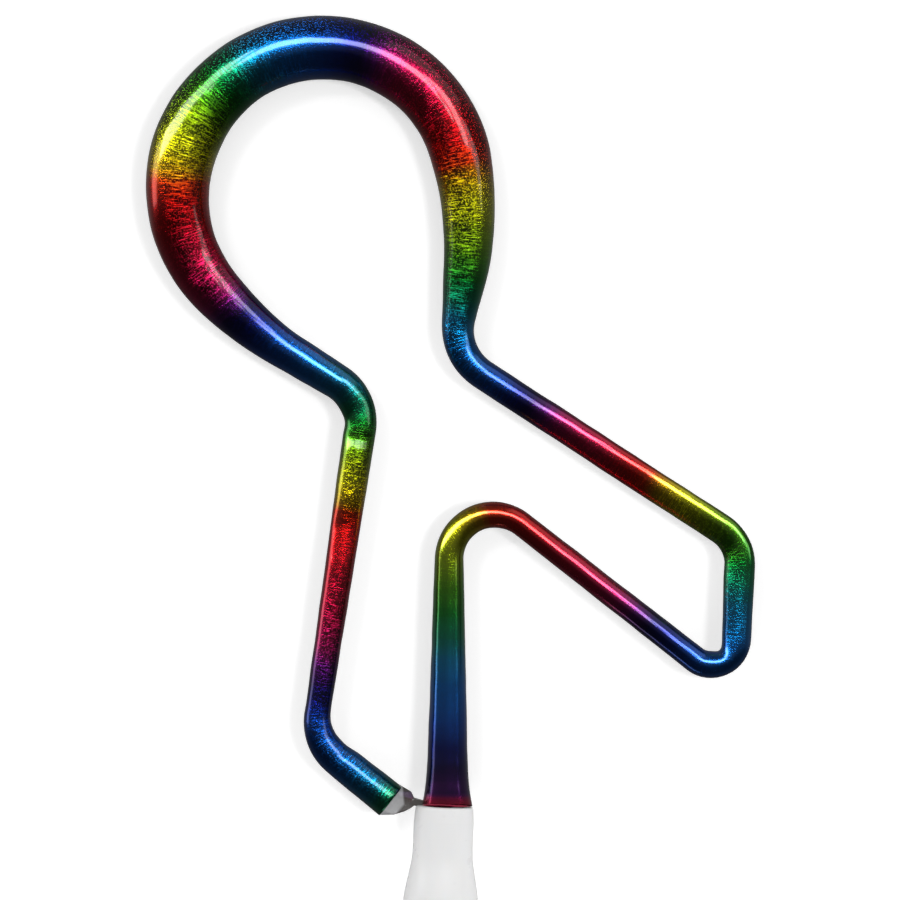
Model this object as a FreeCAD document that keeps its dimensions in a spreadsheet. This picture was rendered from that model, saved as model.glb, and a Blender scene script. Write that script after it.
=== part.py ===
import FreeCAD, Part
import Sketcher
import math
import os
from FreeCAD import Placement, Rotation, Vector

# A ballpoint pen whose upper half is a hollow plastic tube, heated, drawn and bent to the
# outline of an awareness ribbon and wrapped in foil. The tube's foot is pressed into a white
# barrel, its free end is pinched shut beside the foot, and a cap covers the writing point.
#
# Row frame, millimetres: +Y runs from the cap's closed end to the top of the ribbon's loop,
# +X to the right and +Z up from the table that the pen lies on. The origin is the middle of
# the bottom of the whole pen's box.

doc = FreeCAD.newDocument("ribbon_loop_pen")
sheet = doc.addObject("Spreadsheet::Sheet", "Sizes")

# Bends of the tube, from its foot in the barrel round to its pinched end. A run states its
# length, a bend its centreline radius and its turn in degrees, positive to the left. Both
# state the foil's outer diameter where they end.
BENDS = [
    ("flare", 1.8, None, 5.3),
    ("foot", 3.0, None, 4.85),
    ("stem", 24.7, None, 3.5),
    ("crotch", 5.4, -127.5, 2.95),
    ("lower_arm", 26.3, None, 3.2),
    ("heel", 3.1, 125.5, 3.5),
    ("arm_end", 8.9, None, 3.75),
    ("toe", 5.0, 59.5, 3.75),
    ("upper_arm", 33.9, None, 3.6),
    ("right_neck", 6.8, -65.5, 3.9),
    ("throat", 5.5, None, 5.4),
    ("rise", 37.9, 22.0, 7.3),
    ("brow", 16.4, 42.5, 7.55),
    ("crown", 17.4, 75.0, 7.8),
    ("cheek", 17.4, 30.0, 8.1),
    ("jaw", 17.4, 59.5, 6.5),
    ("shoulder", 39.0, 18.0, 4.6),
    ("slope", 6.6, None, 4.3),
    ("left_neck", 6.0, -67.0, 3.9),
    ("left_tail", 34.0, None, 3.05),
    ("ankle", 5.9, 60.0, 4.2),
    ("left_foot", 8.4, None, 4.4),
]

# Every other driving size. Stations are distances from the barrel's rim towards the point.
SIZES = {
    "stem_lean": 1.9,
    "stem_offset": 0.3,
    "stem_start": 0.13,
    "stem_foot_dia": 6.1,
    "foil_wall": 0.1,
    "bore_share": 0.6,
    "spigot_dia": 5.0,
    "spigot_bore": 2.8,
    "spigot_length": 10.0,
    "spigot_root": 0.5,
    "pinch_wide": 2.75,
    "pinch_thick": 1.7,
    "pinch_along": 1.55,
    "pinch_across": 1.4,
    "web_wide": 0.72,
    "web_along": 2.45,
    "web_across": 1.85,
    "tip_along": 2.85,
    "tip_across": 2.15,
    "rim_dia": 6.9,
    "neck_dia": 7.2,
    "neck_station": 1.8,
    "swell_start": 6.2,
    "swell_end": 11.8,
    "barrel_dia": 9.4,
    "rim_round": 0.3,
    "swell_root_round": 12.0,
    "swell_top_round": 30.0,
    "socket_dia": 5.3,
    "socket_depth": 10.4,
    "ledge_dia": 3.8,
    "ledge_end": 11.6,
    "chamber_start": 13.6,
    "chamber_dia": 6.6,
    "cap_station": 42.0,
    "spigot_end": 50.0,
    "cap_spigot_dia": 7.8,
    "edge_break": 0.15,
    "plug_start": 44.0,
    "grip_dia": 6.4,
    "grip_end": 57.0,
    "nose_end": 72.0,
    "nose_tip_dia": 3.9,
    "refill_dia": 3.0,
    "refill_bore": 1.9,
    "refill_fit": 0.02,
    "refill_start": 17.0,
    "refill_end": 64.0,
    "grease_start": 19.0,
    "ink_start": 21.5,
    "ink_end": 59.8,
    "shank_start": 60.0,
    "cone_start": 72.4,
    "cone_dia": 2.3,
    "lip_station": 77.95,
    "lip_dia": 1.12,
    "feed_dia": 0.7,
    "ball_station": 77.75,
    "ball_dia": 1.0,
    "ball_gap": 0.02,
    "cap_end": 86.0,
    "cap_floor": 84.4,
    "cap_bore": 7.92,
    "cap_bore_narrow": 7.0,
    "cap_bore_step": 51.0,
    "cap_bore_ramp": 0.4,
    "cap_round": 2.4,
    "vent_dia": 1.8,
}

SPARE_CELL = "D1"


def fill_sheet():
    rows = list(SIZES.items())
    for name, length, turn, dia in BENDS:
        rows.append((name + "_run" if turn is None else name + "_radius", length))
        if turn is not None:
            rows.append((name + "_turn", turn))
        rows.append((name + "_dia", dia))
    for row, (alias, value) in enumerate(rows, start=1):
        sheet.set("A%d" % row, alias)
        sheet.set("B%d" % row, str(value))
        sheet.setAlias("B%d" % row, alias)
    doc.recompute()


def size(alias):
    return float(sheet.get(alias))


def value_of(expression):
    """The number that an expression on the sheet's cells gives, worked out in a spare cell."""
    sheet.set(SPARE_CELL, "=" + expression)
    sheet.recompute()
    return float(sheet.get(SPARE_CELL))


# ---------------------------------------------------------------- turned parts


def origin_plane(body, role):
    return next(f for f in body.Origin.OriginFeatures if f.Role == role)


def hold_corner(sketch, line, axis, kind, expression):
    """Pins one coordinate of a line's first point: to the axis, or at the sheet's size."""
    value = value_of(expression)
    if abs(value) < 1e-9:
        sketch.addConstraint(Sketcher.Constraint("PointOnObject", line, 1, axis))
        return
    index = sketch.addConstraint(Sketcher.Constraint(kind, -1, 1, line, 1, value))
    bound = expression
    for alias in sorted(SIZES, key=len, reverse=True):
        bound = substitute(bound, alias)
    sketch.setExpression("Constraints[%d]" % index, bound)


def substitute(expression, alias):
    """Puts the sheet's name before one alias, as a whole word."""
    words = expression.split(" ")
    return " ".join("Sizes." + w if w == alias else w for w in words)


def turned(label, corners):
    """A body turned about its own Y axis from a closed outline of (radius, station) corners."""
    body = doc.addObject("PartDesign::Body", label)
    sketch = body.newObject("Sketcher::SketchObject", label + "_outline")
    sketch.AttachmentSupport = [(origin_plane(body, "XY_Plane"), "")]
    sketch.MapMode = "FlatFace"
    points = [Vector(value_of(r), value_of(y), 0) for r, y in corners]
    for here, there in zip(points, points[1:] + points[:1]):
        sketch.addGeometry(Part.LineSegment(here, there), False)
    count = len(points)
    for line in range(count):
        sketch.addConstraint(Sketcher.Constraint("Coincident", line, 2, (line + 1) % count, 1))
    for line, (radius, station) in enumerate(corners):
        hold_corner(sketch, line, -2, "DistanceX", radius)
        hold_corner(sketch, line, -1, "DistanceY", station)
    turn = body.newObject("PartDesign::Revolution", label + "_turned")
    turn.Profile = sketch
    turn.ReferenceAxis = (sketch, ["V_Axis"])
    turn.Angle = 360
    doc.recompute()
    return body


def round_rings(body, rings, radius):
    """Fillets the circular edges of a turned body that lie at (diameter, station) pairs."""
    base = body.Tip
    names = []
    for dia, station in rings:
        for index, edge in enumerate(base.Shape.Edges, start=1):
            curve = edge.Curve
            if curve.TypeId != "Part::GeomCircle":
                continue
            same = abs(curve.Radius - value_of(dia) / 2) < 1e-4
            if same and abs(curve.Center.y - value_of(station)) < 1e-4:
                names.append("Edge%d" % index)
    fillet = body.newObject("PartDesign::Fillet", body.Label + "_round_" + radius)
    fillet.Base = (base, names)
    fillet.Radius = value_of(radius)
    fillet.setExpression("Radius", "Sizes." + radius)
    doc.recompute()


def make_barrel():
    barrel = turned("barrel", [
        ("socket_dia / 2", "0"),
        ("rim_dia / 2", "0"),
        ("neck_dia / 2", "neck_station"),
        ("neck_dia / 2", "swell_start"),
        ("barrel_dia / 2", "swell_end"),
        ("barrel_dia / 2", "cap_station"),
        ("cap_spigot_dia / 2", "cap_station"),
        ("cap_spigot_dia / 2", "spigot_end"),
        ("chamber_dia / 2", "spigot_end"),
        ("chamber_dia / 2", "chamber_start"),
        ("ledge_dia / 2", "ledge_end"),
        ("ledge_dia / 2", "socket_depth"),
        ("socket_dia / 2", "socket_depth"),
    ])
    round_rings(barrel, [("rim_dia", "0")], "rim_round")
    round_rings(barrel, [("neck_dia", "swell_start")], "swell_root_round")
    round_rings(barrel, [("barrel_dia", "swell_end")], "swell_top_round")
    round_rings(barrel, [("barrel_dia", "cap_station")], "edge_break")
    return barrel


def make_nose_cone():
    nose = turned("nose_cone", [
        ("refill_dia / 2 + refill_fit", "plug_start"),
        ("chamber_dia / 2", "plug_start"),
        ("chamber_dia / 2", "spigot_end"),
        ("grip_dia / 2", "spigot_end"),
        ("grip_dia / 2", "grip_end"),
        ("nose_tip_dia / 2", "nose_end"),
        ("refill_dia / 2 + refill_fit", "nose_end"),
    ])
    return nose


def make_cap():
    cap = turned("cap", [
        ("cap_bore / 2", "cap_station + edge_break"),
        ("barrel_dia / 2", "cap_station + edge_break"),
        ("barrel_dia / 2", "cap_end"),
        ("vent_dia / 2", "cap_end"),
        ("vent_dia / 2", "cap_floor"),
        ("cap_bore_narrow / 2", "cap_floor"),
        ("cap_bore_narrow / 2", "cap_bore_step"),
        ("cap_bore / 2", "cap_bore_step - cap_bore_ramp"),
    ])
    round_rings(cap, [("barrel_dia", "cap_end")], "cap_round")
    round_rings(cap, [("barrel_dia", "cap_station + edge_break")], "edge_break")
    return cap


def make_refill_tube():
    return turned("refill_tube", [
        ("refill_bore / 2", "refill_start"),
        ("refill_dia / 2", "refill_start"),
        ("refill_dia / 2", "refill_end"),
        ("refill_bore / 2", "refill_end"),
    ])


def make_plug_of_liquid(label, start, end):
    """A column that fills the refill's bore between two stations."""
    return turned(label, [
        ("0", start),
        ("refill_bore / 2 - refill_fit", start),
        ("refill_bore / 2 - refill_fit", end),
        ("0", end),
    ])


def make_point():
    """The metal point: shank in the refill, collar in the nose, cone, and a seat for the ball."""
    point = turned("writing_point", [
        ("feed_dia / 2", "shank_start"),
        ("refill_bore / 2", "shank_start"),
        ("refill_bore / 2", "refill_end"),
        ("refill_dia / 2", "refill_end"),
        ("refill_dia / 2", "cone_start"),
        ("cone_dia / 2", "cone_start"),
        ("lip_dia / 2", "lip_station"),
        ("feed_dia / 2", "lip_station"),
    ])
    seat = point.newObject("PartDesign::SubtractiveSphere", "ball_seat")
    seat.setExpression("Radius", "Sizes.ball_dia / 2 + Sizes.ball_gap")
    seat.setExpression(".AttachmentOffset.Base.y", "Sizes.ball_station")
    seat.AttachmentSupport = [(origin_plane(point, "XY_Plane"), "")]
    seat.MapMode = "FlatFace"
    doc.recompute()
    return point


def make_ball():
    ball = doc.addObject("Part::Sphere", "writing_ball")
    ball.setExpression("Radius", "Sizes.ball_dia / 2")
    doc.recompute()
    return ball


# ---------------------------------------------------------------- the bent tube


def heading_vector(angle):
    return Vector(math.cos(angle), math.sin(angle), 0)


def turned_left(vector, angle):
    return Rotation(Vector(0, 0, 1), math.degrees(angle)).multVec(vector)


def bend_stations():
    """The centreline's edges, with the place, heading and foil diameter where each ends."""
    place = Vector(size("stem_offset"), size("stem_start"), 0)
    heading = math.radians(90 + size("stem_lean"))
    stations = [(place, heading, size("stem_foot_dia"))]
    edges = []
    for name, _, turn, _ in BENDS:
        along = heading_vector(heading)
        if turn is None:
            end = place + along * size(name + "_run")
            edges.append(Part.LineSegment(place, end).toShape())
        else:
            angle = math.radians(size(name + "_turn"))
            side = turned_left(along, math.copysign(math.pi / 2, angle))
            arm = side * -size(name + "_radius")
            centre = place - arm
            end = centre + turned_left(arm, angle)
            edges.append(Part.Arc(place, centre + turned_left(arm, angle / 2), end).toShape())
            heading += angle
        place = end
        stations.append((place, heading, size(name + "_dia")))
    return edges, stations


def ring(station, radius):
    place, heading, _ = station
    return Part.Wire(Part.makeCircle(radius, place, heading_vector(heading)))


def swept(edges, stations, radius_of):
    """One solid along the centreline; radius_of gives the radius for a foil diameter."""
    pieces = []
    for edge, here, there in zip(edges, stations, stations[1:]):
        pipe = Part.BRepOffsetAPI.MakePipeShell(Part.Wire([edge]))
        pipe.add(ring(here, radius_of(here[2])))
        if here[2] != there[2]:
            pipe.add(ring(there, radius_of(there[2])))
        pipe.build()
        pipe.makeSolid()
        shape = pipe.shape()
        pieces.append(shape if shape.ShapeType == "Solid" else Part.Solid(shape))
    return pieces[0].multiFuse(pieces[1:]).removeSplitter()


def oval(centre, heading, wide, thick):
    """A closed oval wire square to a heading: wide in the ribbon's plane, thin across it."""
    wire = Part.Wire(Part.Ellipse(Vector(0, 0, 0), wide / 2, thick / 2).toShape())
    across = turned_left(heading_vector(heading), -math.pi / 2)
    wire.Placement = Placement(centre, Rotation(across, Vector(0, 0, 1), Vector(), "XYZ"))
    return wire


def pinched_end(station):
    """The free end: the plastic squeezed to a flat web and drawn to a tip at the stem's foot."""
    place, heading, dia = station
    along = heading_vector(heading)
    across = turned_left(along, math.pi / 2)

    def spot(name):
        return place + along * size(name + "_along") + across * size(name + "_across")

    wires = [
        ring(station, dia / 2 - size("foil_wall")),
        oval(spot("pinch"), math.radians(-12), size("pinch_wide"), size("pinch_thick")),
        oval(spot("web"), 0, size("web_wide"), size("web_wide") * 0.9),
        oval(spot("tip"), 0, size("web_wide"), size("web_wide") * 0.8),
    ]
    return Part.makeLoft(wires, True, True)


def make_tube_and_foil():
    edges, stations = bend_stations()
    wall = size("foil_wall")
    share = size("bore_share")
    skin = swept(edges, stations, lambda dia: dia / 2)
    core = swept(edges, stations, lambda dia: dia / 2 - wall)
    bore = swept(edges, stations, lambda dia: dia / 2 * share)
    root = Vector(0, size("spigot_root"), 0)
    down = Vector(0, -1, 0)
    depth = size("spigot_length") + size("spigot_root")
    spigot = Part.makeCylinder(size("spigot_dia") / 2, depth, root, down)
    spigot_bore = Part.makeCylinder(size("spigot_bore") / 2, depth, root, down)
    whole = core.fuse([spigot, pinched_end(stations[-1])]).removeSplitter()
    shapes = {"bent_tube": whole.cut([bore, spigot_bore]), "foil_wrap": skin.cut(core)}
    features = {}
    for label, shape in shapes.items():
        feature = doc.addObject("Part::Feature", label)
        feature.Shape = shape.Solids[0]
        features[label] = feature
    widest = max(stations, key=lambda station: station[2])
    drop = size("barrel_dia") / 2 - widest[2] / 2
    return features, math.degrees(math.atan2(drop, widest[0].y))


# ---------------------------------------------------------------- placing and writing


def overall_box(parts):
    box = FreeCAD.BoundBox()
    for part in parts:
        box.add(part.Shape.optimalBoundingBox(False, False))
    return box


def place_all(lathe_parts, ball, ribbon_parts, slope):
    """Lays the pen down: the barrel's axis level, the ribbon sloping to touch the table."""
    half_turn = Rotation(Vector(0, 0, 1), 180)
    lean = Rotation(Vector(1, 0, 0), -slope)
    axis_height = size("barrel_dia") / 2

    def lay(shift):
        rim = Vector(shift.x, shift.y, axis_height)
        for part in lathe_parts:
            part.Placement = Placement(rim, half_turn)
        for part in ribbon_parts:
            part.Placement = Placement(rim, lean)
        ball.Placement = Placement(rim - Vector(0, size("ball_station"), 0), Rotation())
        doc.recompute()

    lay(Vector())
    box = overall_box(lathe_parts + ribbon_parts)
    lay(Vector(-box.Center.x, -box.Center.y, 0))
    return overall_box(lathe_parts + ribbon_parts)


def write_parts(parts):
    for item in doc.Objects:
        if "Invalid" in item.State or "Error" in item.State:
            raise RuntimeError("%s did not recompute: %s" % (item.Label, item.State))
    os.makedirs("parts", exist_ok=True)
    for part in parts:
        if part.Shape.isNull() or not part.Shape.isValid() or len(part.Shape.Solids) != 1:
            raise RuntimeError("%s is not one valid solid" % part.Label)
    for part in parts:
        part.Shape.exportStep("parts/%s.step" % part.Label)
        print("%-14s %10.3f mm3" % (part.Label, part.Shape.Volume))


fill_sheet()

lathe_parts = [
    make_barrel(),
    make_nose_cone(),
    make_cap(),
    make_refill_tube(),
    make_plug_of_liquid("grease_follower", "grease_start", "ink_start"),
    make_plug_of_liquid("ink_column", "ink_start", "ink_end"),
    make_point(),
]
ball = make_ball()
ribbon, slope = make_tube_and_foil()
sheet.clear(SPARE_CELL)
box = place_all(lathe_parts, ball, list(ribbon.values()), slope)
write_parts(lathe_parts + [ball] + list(ribbon.values()))
print("slope %.3f deg, box %.3f %.3f %.3f to %.3f %.3f %.3f" % (
    slope, box.XMin, box.YMin, box.ZMin, box.XMax, box.YMax, box.ZMax))
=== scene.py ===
import colorsys
import math

import bmesh
import bpy
import numpy as np
from bpy.props import FloatProperty, FloatVectorProperty, IntProperty, PointerProperty
from mathutils import Matrix, Vector


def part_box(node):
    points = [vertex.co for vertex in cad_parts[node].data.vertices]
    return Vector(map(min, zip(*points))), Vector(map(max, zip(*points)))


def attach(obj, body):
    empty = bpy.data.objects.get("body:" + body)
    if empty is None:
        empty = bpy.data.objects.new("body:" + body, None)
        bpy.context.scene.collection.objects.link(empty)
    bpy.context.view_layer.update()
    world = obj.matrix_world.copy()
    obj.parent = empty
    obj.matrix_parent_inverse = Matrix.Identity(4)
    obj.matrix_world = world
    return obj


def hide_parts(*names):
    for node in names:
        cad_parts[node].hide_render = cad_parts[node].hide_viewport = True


bl_info = {
    "name": "Ribbon Loop Pen",
    "version": (1, 0, 0),
    "blender": (4, 5, 0),
    "location": "View3D > Sidebar > Ribbon Pen",
    "description": "Dresses a bent tube pen: rainbow foil, pinched tube end, white shells, refill and point",
    "category": "Object",
}

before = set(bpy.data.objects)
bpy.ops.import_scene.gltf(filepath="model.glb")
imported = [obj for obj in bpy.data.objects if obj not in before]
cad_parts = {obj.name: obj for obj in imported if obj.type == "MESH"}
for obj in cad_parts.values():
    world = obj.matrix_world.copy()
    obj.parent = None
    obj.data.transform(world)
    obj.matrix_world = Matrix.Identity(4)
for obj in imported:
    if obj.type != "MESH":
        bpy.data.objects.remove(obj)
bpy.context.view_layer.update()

# Bends of the tube from its foot in the barrel to its pinched end, in metres and degrees. A run
# has a length, a bend a centreline radius and a turn, positive to the left. Each states the
# foil's outer diameter where it ends.
BENDS = (
    ("flare", 0.00189, None, 0.0053),
    ("foot", 0.0030, None, 0.00485),
    ("stem", 0.0247, None, 0.0035),
    ("crotch", 0.0054, -127.5, 0.00295),
    ("lower_arm", 0.0263, None, 0.0032),
    ("heel", 0.0031, 125.5, 0.0035),
    ("arm_end", 0.0089, None, 0.00375),
    ("toe", 0.0050, 59.5, 0.00375),
    ("upper_arm", 0.0339, None, 0.0036),
    ("right_neck", 0.0068, -65.5, 0.0039),
    ("throat", 0.0055, None, 0.0054),
    ("rise", 0.0379, 22.0, 0.0073),
    ("brow", 0.0164, 42.5, 0.00755),
    ("crown", 0.0174, 75.0, 0.0078),
    ("cheek", 0.0174, 30.0, 0.0081),
    ("jaw", 0.0174, 59.5, 0.0065),
    ("shoulder", 0.0390, 18.0, 0.0046),
    ("slope", 0.0066, None, 0.0043),
    ("left_neck", 0.0060, -67.0, 0.0039),
    ("left_tail", 0.0340, None, 0.00305),
    ("ankle", 0.0059, 60.0, 0.0042),
    ("left_foot", 0.0084, None, 0.0044),
)
# Where the foot starts, from the middle of the barrel's rim: to the right and away from the point.
FOOT_OFFSET = Vector((0.0003, 0.00004))
FOOT_DIAMETER = 0.0061
STEM_LEAN = math.radians(1.9)
# The diameter's corners are smoothed over this distance to each side.
GIRTH_BLEND = 0.003
# Steps along the tube, for finding its directions and for finding its widest place.
FINE_STEP = 0.0005
COARSE_STEP = 0.003
SMALLEST_GIRTH = 1e-9

# The plain end of the tube that sits in the barrel's socket.
SPIGOT_RADIUS = 0.0023
SPIGOT_ROOT = 0.0005
SPIGOT_LENGTH = 0.010
SPIGOT_SIDES = 64

# Turns of the rainbow gone through at distances along the tube from its foot. Whole turns are
# indigo; between the stations given here the film was drawn evenly.
TURNS = (
    (0.0000, -0.16), (0.0009, -0.10), (0.0015, -0.02), (0.0050, 0.00), (0.0075, 0.05),
    (0.0185, 0.29), (0.0270, 0.44), (0.0330, 0.55), (0.0380, 0.64), (0.0610, 1.00),
    (0.0800, 1.30), (0.0940, 1.54), (0.1000, 1.65), (0.1060, 1.82), (0.1160, 2.00),
    (0.1680, 3.00), (0.2175, 4.00), (0.2380, 4.38), (0.2440, 4.54), (0.2475, 4.61),
    (0.2495, 4.67), (0.2560, 4.77), (0.2620, 4.88), (0.2670, 4.97), (0.2710, 5.02),
    (0.2850, 5.29), (0.2906, 5.42),
)

# One turn of the rainbow: share of the turn, then hue, saturation and value of the foil.
RAINBOW = (
    (0.000, 0.700, 0.86, 0.40),
    (0.040, 0.635, 0.92, 0.56),
    (0.100, 0.595, 0.96, 0.80),
    (0.200, 0.575, 0.96, 0.90),
    (0.270, 0.545, 0.95, 0.76),
    (0.320, 0.455, 0.93, 0.62),
    (0.370, 0.375, 0.93, 0.60),
    (0.420, 0.260, 0.90, 0.66),
    (0.480, 0.200, 0.93, 0.76),
    (0.550, 0.165, 0.93, 0.92),
    (0.600, 0.130, 0.96, 0.92),
    (0.635, 0.040, 0.96, 0.97),
    (0.680, 0.006, 0.95, 0.94),
    (0.740, 0.985, 0.93, 0.90),
    (0.800, 0.965, 0.91, 0.90),
    (0.880, 0.945, 0.90, 0.86),
    (0.930, 0.910, 0.86, 0.74),
    (0.965, 0.810, 0.80, 0.50),
)

# The foil's colours are this share of a bare metal's, because the lacquer over them is deep.
FOIL_DEPTH = 0.5

# How much the foil is crackled and speckled, at distances along the tube from its foot. The same shares
# darken the foil's colour as painted shade.
CRACKLE = (
    (0.000, 0.00), (0.026, 0.05), (0.030, 0.15), (0.037, 0.10), (0.045, 0.05), (0.066, 0.05),
    (0.075, 0.40), (0.084, 0.50), (0.090, 0.40), (0.100, 0.35), (0.112, 0.25), (0.124, 0.35),
    (0.131, 0.85), (0.142, 1.00), (0.155, 0.80), (0.163, 0.45), (0.172, 0.10), (0.182, 0.40),
    (0.190, 0.90), (0.212, 1.00), (0.219, 0.40), (0.228, 0.15), (0.236, 0.40), (0.243, 0.90),
    (0.249, 0.50), (0.254, 0.40), (0.260, 0.90), (0.272, 0.70), (0.287, 0.60),
)
SPECKLE = ((0.140, 0.0), (0.150, 1.0), (0.190, 1.0), (0.200, 0.0))
# How the crackle and the speckle are spread across it, from its right edge (-1) to its left (1).
CRACKLE_SPREAD = ((-0.60, 0.12), (-0.22, 1.00), (0.70, 1.00), (0.97, 0.30))
SPECKLE_SPREAD = ((-0.97, 0.10), (-0.85, 1.00), (-0.52, 1.00), (-0.34, 0.00))

# Where heat and bending have flattened the tube: distance along it, thickness as a share of its
# width, and how far the flat is rolled about the tube's line, in degrees.
FLATS = (
    (0.000, 0.80, 0.0), (0.002, 0.91, 0.0), (0.005, 1.00, 0.0),
    (0.070, 1.00, 0.0), (0.078, 0.85, 0.0), (0.086, 0.62, 20.0), (0.100, 0.64, 17.0),
    (0.112, 0.76, 12.0), (0.124, 1.00, 0.0),
    (0.200, 1.00, 0.0), (0.208, 0.82, -7.0), (0.222, 0.82, -7.0), (0.232, 1.00, 0.0),
    (0.236, 0.80, 0.0), (0.241, 1.00, 0.0), (0.2465, 1.00, 0.0), (0.250, 0.78, 0.0),
    (0.2545, 1.00, 0.0), (0.274, 1.00, 0.0), (0.279, 0.85, -10.0), (0.284, 1.00, 0.0),
)

# Small nips where the soft tube buckled: distance along it, side in degrees (0 left, 90 up),
# depth and reach in metres.
NIPS = (
    (0.0720, 15.0, 0.00036, 0.0012),
    (0.2372, 165.0, 0.00012, 0.0013),
    (0.2394, 80.0, 0.00020, 0.0007),
    (0.2790, 20.0, 0.00018, 0.0011),
)

# The foil's patterns, as a scale for each metre to the left, up and along the tube.
DRIFT_SCALE = (300.0, 300.0, 420.0)
BAND_SCALE = (30.0, 30.0, 2600.0)
STREAK_SCALE = (620.0, 620.0, 6000.0)
PATCH_SCALE = (420.0, 420.0, 420.0)
HAIRLINE_SCALE = (1400.0, 1400.0, 9000.0)
GRAIN_SCALE = 5200.0
# How far the colours wander, in turns of the rainbow.
DRIFT_REACH = 0.03
BAND_REACH = 0.025
# The smooth foil's brightness, the painted shade that crackle and speckle take from it, and the painted
# glints that their ridges and grains give back.
SMOOTH_SHINE = 1.25
CRACKLE_PAINTED_SHADE = 1.13
SPECKLE_PAINTED_SHADE = 0.90
RIDGE_PAINTED_GLINT = 3.1
GRAIN_PAINTED_GLINT = 1.7
CRACKLE_DULLING = 0.11
CRACKLE_WEAR = 0.4

# Colours that the sidebar doesn't offer.
WHITE = (1.0, 1.0, 1.0)
MILKY_DENSE = (0.62, 0.65, 0.66)
MILKY_PALE = (0.78, 0.80, 0.80)
GREASE_SKIN = (0.86, 0.80, 0.58)
GREASE_BUBBLE = (0.70, 0.60, 0.34)
NICKEL_BRIGHT = (0.74, 0.70, 0.62)
NICKEL_TARNISHED = (0.50, 0.45, 0.37)
CARBIDE = (0.46, 0.47, 0.50)


# ------------------------------------------------------------------ node trees


class Value:
    """An output socket of a recipe, used in sums as if it were a number."""

    def __init__(self, recipe, socket):
        self.recipe = recipe
        self.socket = socket

    def combine(self, operation, first, second):
        return self.recipe.node("ShaderNodeMath", {0: first, 1: second}, operation=operation)

    def __add__(self, other):
        return self.combine("ADD", self, other)

    def __sub__(self, other):
        return self.combine("SUBTRACT", self, other)

    def __rsub__(self, other):
        return self.combine("SUBTRACT", other, self)

    def __mul__(self, other):
        return self.combine("MULTIPLY", self, other)

    __radd__ = __add__
    __rmul__ = __mul__


class Recipe:
    """A node tree that is filled in by expressions; node() is the one way that a node is added."""

    def __init__(self, tree):
        self.tree = tree
        tree.nodes.clear()

    def node(self, kind, sockets=None, output=0, **settings):
        made = self.tree.nodes.new(kind)
        for name, value in settings.items():
            if name == "stops":
                set_stops(made.color_ramp, value)
            else:
                setattr(made, name, value)
        for name, value in (sockets or {}).items():
            self.feed(made, name, value)
        return Value(self, made.outputs[output]) if made.outputs else None

    def feed(self, node, name, value):
        """Gives a node's input a value, or a link where the value is another node's output."""
        if isinstance(value, Value):
            self.tree.links.new(value.socket, node.inputs[name])
        else:
            node.inputs[name].default_value = value

    def attribute(self, name, output="Fac"):
        return self.node("ShaderNodeAttribute", output=output, attribute_name=name)

    def object_place(self):
        return self.node("ShaderNodeTexCoord", output="Object")

    def scaled(self, vector, factors):
        return self.node("ShaderNodeVectorMath", {0: vector, 1: factors}, operation="MULTIPLY")

    def noise(self, vector, scale=1.0, detail=2.0, rough=0.5):
        sockets = {"Vector": vector, "Scale": scale, "Detail": detail, "Roughness": rough}
        return self.node("ShaderNodeTexNoise", sockets)

    def between(self, value, low, high, to_low=0.0, to_high=1.0):
        """A smooth step of a value from one range to another."""
        sockets = {"Value": value, 1: low, 2: high, 3: to_low, 4: to_high}
        return self.node("ShaderNodeMapRange", sockets, interpolation_type="SMOOTHSTEP")

    def mixed(self, factor, first, second, blend="MIX"):
        """Two colours mixed."""
        sockets = {0: factor, 6: first, 7: second}
        return self.node("ShaderNodeMix", sockets, output=2, data_type="RGBA", blend_type=blend)

    def bump(self, height):
        """A normal from a height that is already in metres."""
        return self.node("ShaderNodeBump", {"Strength": 1.0, "Distance": 1.0, "Height": height})


def set_stops(ramp, stops):
    while len(ramp.elements) > 1:
        ramp.elements.remove(ramp.elements[-1])
    for index, (place, colour) in enumerate(stops):
        stop = ramp.elements[0] if index == 0 else ramp.elements.new(place)
        stop.position = place
        stop.color = colour


def new_material(name):
    material = bpy.data.materials.new(name)
    material.use_nodes = True
    return material, Recipe(material.node_tree)


def principled(recipe, sockets):
    """Ends a material with one Principled shader."""
    shader = recipe.node("ShaderNodeBsdfPrincipled", sockets)
    recipe.node("ShaderNodeOutputMaterial", {"Surface": shader})


def solid(colour, share=1.0):
    """A colour's three values, or a share of each, with full cover as the fourth."""
    return tuple(value * share for value in colour) + (1.0,)


def linear(share):
    """A display value from 0 to 1 as light, by the usual display curve."""
    return share / 12.92 if share <= 0.04045 else ((share + 0.055) / 1.055) ** 2.4


def foil_colour(hue, saturation, value):
    shown = colorsys.hsv_to_rgb(hue, saturation, value)
    return solid([linear(share) for share in shown], FOIL_DEPTH)


# ------------------------------------------------------------------ materials


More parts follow.
